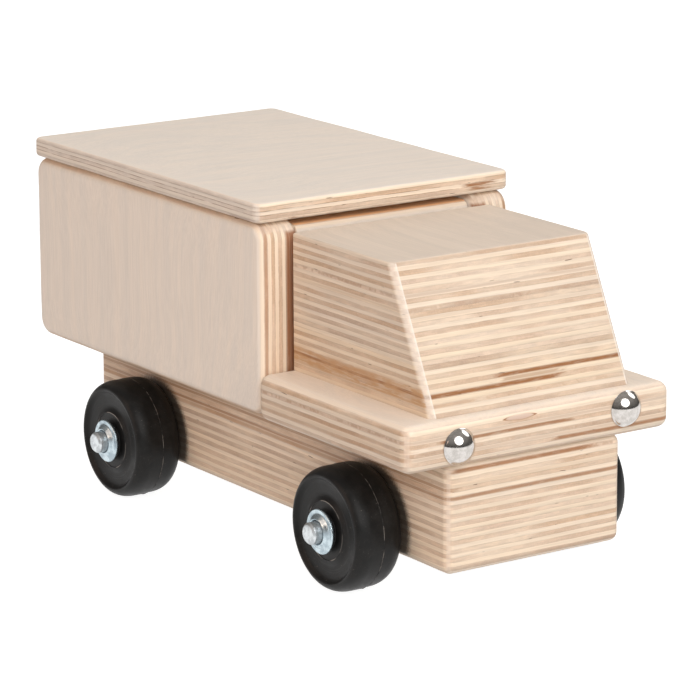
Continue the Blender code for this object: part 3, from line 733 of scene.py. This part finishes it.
def lathe(profile, centre, axis, side, turns=128, flute=None):
    """Turns a profile of (radius, distance along the axis) points about an axis through centre.

    A profile that starts off the axis closes on itself. flute gives each point's own small move.
    """
    shape = bmesh.new()
    across, up = {X: (Y, Z), Y: (X, Z), Z: (X, Y)}[axis]
    rings = []
    for radius, reach in profile:
        ring = []
        for number in range(turns):
            angle = 2 * math.pi * number / turns
            place = Vector(centre)
            lift = flute(radius, reach, angle) if flute else (0.0, 0.0, 0.0)
            place[across] += radius * math.cos(angle) + lift[0]
            place[up] += radius * math.sin(angle) + lift[1]
            place[axis] += side * (reach + lift[2])
            ring.append(shape.verts.new(place))
            if radius == 0.0:
                break
        rings.append(ring)
    closed = profile[0][0] > 0.0
    pairs = list(zip(rings, rings[1:] + rings[:1])) if closed else list(zip(rings, rings[1:]))
    for first, second in pairs:
        for number in range(turns):
            after = (number + 1) % turns
            corners = (first[number % len(first)], first[after % len(first)],
                       second[after % len(second)], second[number % len(second)])
            shape.faces.new(list(dict.fromkeys(corners)))
    return shape


def arc(centre_radius, centre_reach, radius, start, end, count):
    """Points of a round stretch of a profile, from one angle to another in degrees. 0 points outward."""
    points = []
    for number in range(count + 1):
        angle = math.radians(start + (end - start) * number / count)
        points.append((centre_radius + radius * math.cos(angle), centre_reach + radius * math.sin(angle)))
    return points


def steps(radius, reach, *offsets):
    """Points of a profile, each (radius, reach) in mm from a starting point."""
    return [(radius + out * MM, reach + up * MM) for out, up in offsets]


# ------------ cab

PLATE_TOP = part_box("fender_plate")[1].z
CAB_BOXES = [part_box(node) for node in ("cab_lower_board", "cab_middle_board", "cab_upper_board")]
CAB_REAR = CAB_BOXES[0][0].x
CAB_HALF = CAB_BOXES[0][1].y
CAB_TOP = CAB_BOXES[2][1].z
WINDSCREEN_FOOT = CAB_BOXES[0][1].x
WINDSCREEN_SLOPE = (WINDSCREEN_FOOT - CAB_BOXES[2][1].x) / (CAB_BOXES[2][0].z - CAB_BOXES[0][0].z)
PILLAR_RADIUS = 3.0 * MM
PILLAR_TURN = math.radians(68.0)
PILLAR_STEPS = 10
REAR_RADIUS = 0.8 * MM
REAR_STEPS = 4
CAB_BRIM = 0.7 * MM          # the radius of the roof's sanded edge
BRIM_STEPS = 6
CAB_LEVELS = 5
GLUE_LINE = 0.01 * MM
LAMINATE_GAP = 0.02 * MM     # between the plate and the boards above and below it
PLIES = 11                   # in each thick board


def windscreen_at(height):
    return WINDSCREEN_FOOT - WINDSCREEN_SLOPE * (height - CAB_BOXES[0][0].z)


def cab_outline(height, inset):
    """The cab's section at a height. Each pillar is rounded, and meets the windscreen at a crisp line."""
    front = windscreen_at(height) - inset
    rear = CAB_REAR + inset
    half = CAB_HALF - inset
    points = []
    for side in (-1, 1):
        pillar = []
        for number in range(PILLAR_STEPS + 1):
            angle = PILLAR_TURN * number / PILLAR_STEPS
            x = front - PILLAR_RADIUS * math.sin(PILLAR_TURN) + PILLAR_RADIUS * math.sin(angle)
            y = half - PILLAR_RADIUS + PILLAR_RADIUS * math.cos(angle)
            pillar.append((x, side * y))
        tail = []
        for number in range(REAR_STEPS + 1):
            angle = math.radians(90.0 * number / REAR_STEPS)
            x = rear + REAR_RADIUS - REAR_RADIUS * math.cos(angle)
            y = half - REAR_RADIUS + REAR_RADIUS * math.sin(angle)
            tail.append((x, side * y))
        points += tail + pillar if side < 0 else pillar[::-1] + tail[::-1]
    return points


def cab_board(low_z, high_z, brim):
    """One of the cab's boards. Its sides slope in with the windscreen, and a brim rounds its top edge."""
    top = high_z - brim
    levels = [(low_z + (top - low_z) * number / CAB_LEVELS, 0.0) for number in range(CAB_LEVELS + 1)]
    if brim:
        for number in range(1, BRIM_STEPS + 1):
            angle = math.radians(90.0 * number / BRIM_STEPS)
            levels.append((top + brim * math.sin(angle), brim * (1.0 - math.cos(angle))))
    shape = bmesh.new()
    rings = []
    for height, inset in levels:
        rings.append([shape.verts.new((x, y, height)) for x, y in cab_outline(height, inset)])
    for first, second in zip(rings, rings[1:]):
        for number in range(len(first)):
            after = (number + 1) % len(first)
            shape.faces.new((first[number], first[after], second[after], second[number]))
    shape.faces.new(rings[0][::-1])
    shape.faces.new(rings[-1])
    return shape


CAB_BOARDS = (
    # name, CAD node, warmth, streaks
    ("cab_board_low", "cab_lower_board", 0.60, (
        (4, Y, -60.0, 12.0, 1.0), (6, Y, -12.0, 60.0, 1.0), (5, Y, -10.0, 14.0, 0.5),
        (2, Y, -60.0, -22.0, 0.4), (5, X, 0.0, 78.0, 0.25))),
    ("cab_board_mid", "cab_middle_board", 0.45, ((6, Y, -30.0, 30.0, 0.15), (9, X, 0.0, 100.0, 0.15))),
    ("cab_board_top", "cab_upper_board", 0.35, ((4, Y, 20.0, 60.0, 0.15), (10, X, 84.0, 100.0, 0.2))),
)
CAB_STAIN = (3.2, 8.2)       # mm above the plate


def make_cab():
    bounds = [PLATE_TOP + LAMINATE_GAP]
    for lower, upper in zip(CAB_BOXES, CAB_BOXES[1:]):
        bounds.append((lower[1].z + upper[0].z) / 2)
    bounds.append(CAB_TOP)
    crease = (CAB_HALF - PILLAR_RADIUS * (1.0 - math.cos(PILLAR_TURN))) / MM
    last = len(CAB_BOARDS) - 1
    for number, (name, node, warm, streaks) in enumerate(CAB_BOARDS):
        base, top = bounds[number], bounds[number + 1]
        stain = tuple(PLATE_TOP / MM + height for height in CAB_STAIN) if number == 0 else None
        material = plywood(
            name + "_ply", Z, (X, Y), (base, top), PLIES, 11.0 * number + 3.0, streaks=streaks, warm=warm,
            veneer=1.05, sanded=0.5, crease=crease, shade=0.91, stain=stain,
        )
        shape = cab_board(base + GLUE_LINE, top if number == last else top - GLUE_LINE,
                          CAB_BRIM if number == last else 0.0)
        add_piece(name, shape, material, [node], crease=14.0)


make_cab()

# ------------ chassis and fender plate

CHASSIS_PLIES = 25
# The X streaks darken plies 16 and 20 on the sides and rear only, back from x 80 and 60 mm.
CHASSIS_STREAKS = (
    (23, Y, -30.0, 22.0, 0.85), (17, Y, -60.0, 60.0, 0.75), (19, Y, -60.0, -30.0, 0.7),
    (1, Y, 0.0, 60.0, 0.2), (16, X, -200.0, 80.0, 0.35), (20, X, -200.0, 60.0, 0.3),
)
PLATE_STREAKS = (
    (6, Y, -40.0, 12.0, 0.85), (2, Y, 5.0, 60.0, 0.85), (0, Y, -60.0, 60.0, 0.2), (3, X, 0.0, 200.0, 0.3),
    (5, X, 20.0, 110.0, 0.3), (0, X, 80.0, 103.0, 1.0),
)
PLATE_KNOT = (-8.5, 60.1, 6.2, 0.85)


def make_chassis():
    # where the wheels leave rub marks and painted shadow on the chassis sides
    rubs_and_shadows = []
    for node in ("wheel_front_left", "wheel_rear_left"):
        low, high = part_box(node)
        centre = (low + high) / 2 / MM
        rubs_and_shadows.append((centre.x, centre.z, (high.z - low.z) / 2 / MM))
    low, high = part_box("chassis_block")
    high.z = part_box("fender_plate")[0].z - LAMINATE_GAP
    material = plywood(
        "chassis_ply", Z, (Y, X), (low.z, high.z), CHASSIS_PLIES, 5.0, streaks=CHASSIS_STREAKS, warm=0.45,
        veneer=0.8, rubs_and_shadows=rubs_and_shadows,
    )
    shape = board(low, high, Z, 3.0 * MM, 3.0 * MM, 1.0)
    add_piece("chassis_beam", shape, material, ["chassis_block"])

    low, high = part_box("fender_plate")
    material = plywood(
        "fender_ply", Z, (X, Y), (low.z, high.z), PLIES, 21.0, streaks=PLATE_STREAKS, warm=0.38, veneer=0.8,
        side_shade=0.90, knot=PLATE_KNOT,
    )
    shape = board(low, high, Z, 4.0 * MM, 3.6 * MM, 2.0)
    add_piece("fender_board", shape, material, ["fender_plate"])


make_chassis()

# ------------ box and lid

BOX_SIDES = (("box_wall_right", "box_side_right", -1), ("box_wall_left", "box_side_left", 1))
BOX_ENDS = (("box_bulkhead", "box_front_panel", 3.0 * MM), ("gate_board", "tailgate_panel", 7.3 * MM))
# SLIT_REACH and LID_REACH place the painted shade in the slit beside the cab and under the lid
SLIT_REACH = 1.1             # mm outside the cab's side, where the tint of the slit beside it starts
LID_REACH = (0.65, 0.2)      # mm below the bulkhead's top, where the tint under the lid starts and is full
LID_PLIES = 5
# The first darkens the lowest veneer's edges from x 12 to 25 mm, just behind the lid's front.
LID_STREAKS = ((0, X, 12.0, 25.0, 1.0), (2, Y, 30.0, 42.0, 1.0), (1, Y, 34.0, 41.0, 0.9))
STRIP_PLIES = 4


def rounded_panel(low, high, top_radius, edge, seed):
    """An upright board whose top edges, front and rear, are rounded."""
    shape = block(low, high)
    top = [e for e in shape.edges if along(e, Y) and e.verts[0].co.z > (low.z + high.z) / 2]
    round_edges(shape, top, top_radius)
    round_edges(shape, sharp_edges(shape), edge)
    slice_up(shape, low, high, Y)
    waver(shape, seed, edge=0.05 * MM)
    return shape


def make_box():
    half = CAB_HALF / MM
    for name, node, side in BOX_SIDES:
        low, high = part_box(node)
        material = plywood(
            name + "_ply", Y, (Z, X), (low.y, high.y), PLIES, 31.0 + side,
            streaks=((5 + 4 * side, Z, 40.0, 120.0, 0.6),), warm=0.42, veneer=0.12, contrast=1.25,
            # painted dark shade in the slit between the wall's front edge and the cab
            gap=(Y, side * (half + SLIT_REACH), side * half, BESIDE_CAB_SHADE, CAB_TOP / MM),
        )
        shape = board(low, high, Y, 6.0 * MM, 3.0 * MM, 3.0 + side)
        add_piece(name, shape, material, [node])

    for name, node, top_radius in BOX_ENDS:
        low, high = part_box(node)
        top = high.z / MM
        material = plywood(
            name + "_ply", X, (Y, Z), (low.x, high.x), PLIES, 51.0 + len(name), warm=0.6, veneer=0.5,
            # painted warm shade under the lid, along the bulkhead's top edge
            gap=(Z, top - LID_REACH[0], top - LID_REACH[1], UNDER_LID_SHADE, 2 * top),
        )
        shape = rounded_panel(low, high, top_radius, 0.7 * MM, 5.0)
        add_piece(name, shape, material, [node])


def make_lid():
    low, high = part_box("lid_board")
    material = plywood(
        "lid_ply", Z, (Y, X), (low.z, high.z), LID_PLIES, 61.0,
        streaks=LID_STREAKS, glue=1.0, contrast=0.90, warm=0.45, veneer=0.2, greyed=0.5,
    )
    shape = board(low, high, Z, 3.2 * MM, 1.4 * MM, 6.0)
    add_piece("lid_top", shape, material, ["lid_board"])

    for name, node in (("lid_strip_front", "lid_cleat_front"), ("lid_strip_rear", "lid_cleat_rear")):
        low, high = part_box(node)
        material = plywood(
            name + "_ply", Z, (Y, X), (low.z, high.z), STRIP_PLIES, 90.0 + len(name), glue=0.5, warm=0.5
        )
        shape = board(low, high, Z, 0.6 * MM, 0.6 * MM, 7.0)
        add_piece(name, shape, material, [node])


make_box()
make_lid()

# ------------ wheels

WHEELS = {"front_left": 1, "front_right": -1, "rear_left": 1, "rear_right": -1}
WHEEL_SLACK = 0.25 * MM      # from the tread to the highest point of the moulding fin
WHEEL_BORE = 3.9 * MM
FACE_RIM = 17.3 * MM
BACK_RIM = 16.6 * MM
BOSS = 6.0 * MM
BOSS_EDGE = 0.35 * MM
MOULD_SHIFT = (-0.14 * MM, 0.10 * MM)


def shoulder(rim, tread, count):
    """The round from a face, at the rim's radius, out to the tread."""
    points = []
    for number in range(count + 1):
        angle = math.radians(90.0 * number / count)
        drop = WHEEL_SHOULDER * (1 - math.cos(angle))
        points.append((rim + (tread - rim) * math.sin(angle), HALF_WHEEL - drop))
    return points


def wheel_face(tread):
    """The outer face, from the bore over the boss, flash ring, dish and rim to the tread."""
    boss_top = HALF_WHEEL + 0.5 * MM
    hub = HALF_WHEEL - 0.6 * MM
    points = steps(WHEEL_BORE, boss_top, (0.0, -0.4), (0.25, 0.0))
    points += arc(BOSS - BOSS_EDGE, boss_top - BOSS_EDGE, BOSS_EDGE, 90, 0, 4)
    points += steps(BOSS, hub, (0.0, 0.25), (0.10, 0.08), (0.35, 0.0))
    points += steps(FLASH_RING, hub, (-0.25, -0.05), (-0.07, 0.14), (0.07, 0.12), (0.20, -0.10), (0.6, -0.30))
    points += steps(0.0, HALF_WHEEL - DISH, (11.0, 0.30), (11.7, 0.12), (12.5, 0.10), (14.6, 0.28),
                    (15.5, 0.42), (16.1, 0.66), (16.5, 0.98), (16.8, 1.28), (17.0, 1.48), (17.2, 1.57))
    return points + shoulder(FACE_RIM, tread, 14)[1:]


def wheel_back(tread):
    """The plain inner face, with one shallow groove, from the bore to the tread."""
    points = steps(WHEEL_BORE, HALF_WHEEL, (0.0, -0.5), (0.4, -0.1))
    points += steps(0.0, HALF_WHEEL, (8.0, -0.1), (8.6, -0.6), (14.8, -0.6), (15.4, -0.1))
    return points + shoulder(BACK_RIM, tread, 12)


def wheel_profile(tread):
    fin = steps(tread, PARTING, (0.0, 0.35), (0.03, 0.12))
    fin += [(tread + WHEEL_SLACK, PARTING)] + steps(tread, PARTING, (-0.02, -0.10))
    back = [(radius, -reach) for radius, reach in reversed(wheel_back(tread - 0.05 * MM))]
    return wheel_face(tread) + fin + back


def make_wheels():
    for place, side in WHEELS.items():
        node = "wheel_" + place
        low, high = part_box(node)
        centre = (low + high) / 2
        inner = low.y if side > 0 else high.y
        centre.y = inner + side * HALF_WHEEL
        tread = (high.z - low.z) / 2 - WHEEL_SLACK - 0.02 * MM

        def moulding(radius, reach, angle, tread=tread, seed=len(place) + side):
            """Two mould halves a little out of line, and a ragged fin where they met."""
            if radius > tread + 0.5 * WHEEL_SLACK:
                ragged = noise.noise(Vector((9.0 * math.cos(angle), 9.0 * math.sin(angle), seed)))
                drop = -WHEEL_SLACK * min(1.0, max(0.0, 0.55 - 0.9 * ragged))
                return (drop * math.cos(angle), drop * math.sin(angle), 0.0)
            return (*MOULD_SHIFT, 0.0) if reach < PARTING else (0.0, 0.0, 0.0)

        shape = lathe(wheel_profile(tread), centre, Y, side, 180, moulding)
        material = rubber("rubber_" + place, centre / MM, side)
        add_piece("tyre_" + place, shape, material, [node], crease=30.0)


make_wheels()

# ------------ washers and rods

FLANGE = 0.9 * MM            # the push-on washer's flat flange
WASHER_BORE = 3.75 * MM
DENT = 0.12 * MM
ROD_CHAMFER = 0.7 * MM


def push_washer_profile(outer, height):
    """A flat flange and a collar that flares up to a turned-in lip."""
    points = steps(WASHER_BORE, 0.0, (0.0, 0.0)) + steps(outer, 0.0, (-0.2, 0.0), (0.0, 0.2))
    points += arc(outer - 0.3 * MM, FLANGE - 0.3 * MM, 0.3 * MM, 0, 90, 5)
    points += steps(0.0, FLANGE, (6.3, 0.0), (5.9, 0.06), (5.6, 0.22), (5.25, 0.52), (4.75, 0.95))
    points += steps(0.0, height, (4.5, -0.15), (4.25, -0.02), (4.05, -0.06))
    return points + steps(WASHER_BORE, height, (0.08, -0.30), (0.0, -0.6))


def make_push_washers():
    for place, side in WHEELS.items():
        node = "push_washer_" + place
        low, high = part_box(node)
        centre = (low + high) / 2
        centre.y = low.y if side > 0 else high.y

        def pressed(radius, reach, angle, seed=len(place) * side):
            """The collar is pressed by hand and isn't quite round."""
            if reach < FLANGE + 0.2 * MM:
                return (0.0, 0.0, 0.0)
            dent = noise.noise(Vector((1.5 * math.cos(angle), 1.5 * math.sin(angle), seed)))
            return (0.0, 0.0, -DENT * abs(dent))

        profile = push_washer_profile((high.z - low.z) / 2, high.y - low.y)
        shape = lathe(profile, centre, Y, side, 120, pressed)
        material = metal("zinc_washer_" + place, "washer_zinc", centre / MM)
        add_piece("cap_washer_" + place, shape, material, [node], crease=40.0)


def make_rods():
    for name, node in (("axle_pin_front", "front_axle_rod"), ("axle_pin_rear", "rear_axle_rod")):
        low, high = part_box(node)
        centre = (low + high) / 2
        radius = (high.z - low.z) / 2
        half = (high.y - low.y) / 2
        profile = steps(0.0, half, (0.0, -0.05), (1.2, -0.02))
        profile += steps(radius - ROD_CHAMFER, half, (-0.15, 0.0), (0.05, -0.06))
        profile += steps(radius, half - ROD_CHAMFER, (-0.1, 0.0), (0.0, -0.2))
        profile += steps(radius, half, (0.0, -6.0))
        profile += [(r, -t) for r, t in reversed(profile)]
        shape = lathe(profile, centre, Y, 1, 64)
        add_piece(name, shape, metal(name + "_zinc", "rod_zinc", centre / MM), [node], crease=25.0)


make_push_washers()
make_rods()

# ------------ headlight nails

NAILS = (("lamp_nail_left", "headlight_nail_left"), ("lamp_nail_right", "headlight_nail_right"))
NAIL_SHANK = 0.9 * MM
NAIL_TAPER = 1.6 * MM
NAIL_RIM = 0.25 * MM
DOME_STEPS = 16


def make_nails():
    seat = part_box("fender_plate")[1].x + 0.03 * MM
    for name, node in NAILS:
        low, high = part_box(node)
        centre = (low + high) / 2
        centre.x = 0.0
        radius = (high.z - low.z) / 2
        dome = high.x - seat
        curve = (radius ** 2 + dome ** 2) / (2 * dome)
        reach = math.degrees(math.acos((curve - dome) / curve))
        profile = [(0.0, low.x), (NAIL_SHANK, low.x + NAIL_TAPER), (NAIL_SHANK, seat)]
        profile += [(radius - NAIL_RIM, seat), (radius, seat + NAIL_RIM)]
        for number in range(1, DOME_STEPS):
            angle = math.radians(reach * (1 - number / DOME_STEPS))
            profile.append((curve * math.sin(angle), high.x - curve + curve * math.cos(angle)))
        profile.append((0.0, high.x))
        shape = lathe(profile, centre, X, 1, 96)
        add_piece(name, shape, metal(name + "_nickel", "nickel"), [node], crease=50.0)


make_nails()

# ------------ hinge screws

SCREWS = (
    # name, CAD node, axis. Each head faces down its axis.
    ("hinge_fixing_low_left", "hinge_screw_chassis_left", X),
    ("hinge_fixing_low_right", "hinge_screw_chassis_right", X),
    ("hinge_fixing_high_left", "hinge_screw_box_left", Z),
    ("hinge_fixing_high_right", "hinge_screw_box_right", Z),
)
CROSS_REACH = 1.35 * MM
CROSS_HALF_WIDTH = 0.30 * MM
CROSS_DEPTH = 0.45 * MM
HEAD_STEP = 0.15 * MM
THREAD_PITCH = 0.9 * MM


def cross_recess(radius, reach, angle):
    """A driver's cross in the head's flat face."""
    if reach < -0.01 * MM or radius > CROSS_REACH:
        return (0.0, 0.0, 0.0)
    off = min(abs(radius * math.cos(angle)), abs(radius * math.sin(angle)))
    return (0.0, 0.0, -CROSS_DEPTH if off < CROSS_HALF_WIDTH else 0.0)


def make_screws():
    material = metal("screw_steel", "screw_steel")
    for name, node, axis in SCREWS:
        low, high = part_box(node)
        centre = (low + high) / 2
        centre[axis] = low[axis]
        across = Y if axis == X else X
        head = (high[across] - low[across]) / 2
        length = high[axis] - low[axis]
        profile = [(HEAD_STEP * number, 0.0) for number in range(13)]
        profile += steps(head, 0.0, (-0.1, -0.02), (0.0, -0.12), (-0.9, -0.95))
        for number in range(round((length - 3.0 * MM) / THREAD_PITCH)):
            start = -1.1 * MM - THREAD_PITCH * number
            profile += steps(0.0, start, (0.85, 0.0), (1.08, -0.40), (0.85, -0.75))
        profile.append((0.0, -length))
        shape = lathe(profile, centre, axis, -1, 72, cross_recess)
        add_piece(name, shape, material, [node], crease=30.0)


make_screws()

# ------------ CAD pieces that keep their shape

VENEER = 1.38 * MM           # in the hidden boards


def paint(node, material):
    piece = frame["nodes"][node]
    if not piece.data.materials:
        piece.data.materials.append(material)
    for slot in piece.material_slots:
        slot.material = material


def paint_kept():
    steel = metal("drawn_steel", "drawn_steel")
    zinc = metal("plain_zinc", "plain_zinc")
    dowel = beech("beech_dowel", Z)
    for node, piece in frame["nodes"].items():
        if piece.hide_render:
            continue
        if "dowel" in node:
            paint(node, dowel)
        elif "hinge" in node or "pin" in node:
            paint(node, steel)
        elif "washer" in node:
            paint(node, zinc)
        else:
            low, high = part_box(node)
            thin = min(range(3), key=lambda axis: high[axis] - low[axis])
            grains = tuple(axis for axis in (Y, X, Z) if axis != thin)
            plies = max(3, round((high[thin] - low[thin]) / VENEER))
            paint(node, plywood(node + "_ply", thin, grains, (low[thin], high[thin]), plies, 70.0, warm=0.35))


paint_kept()
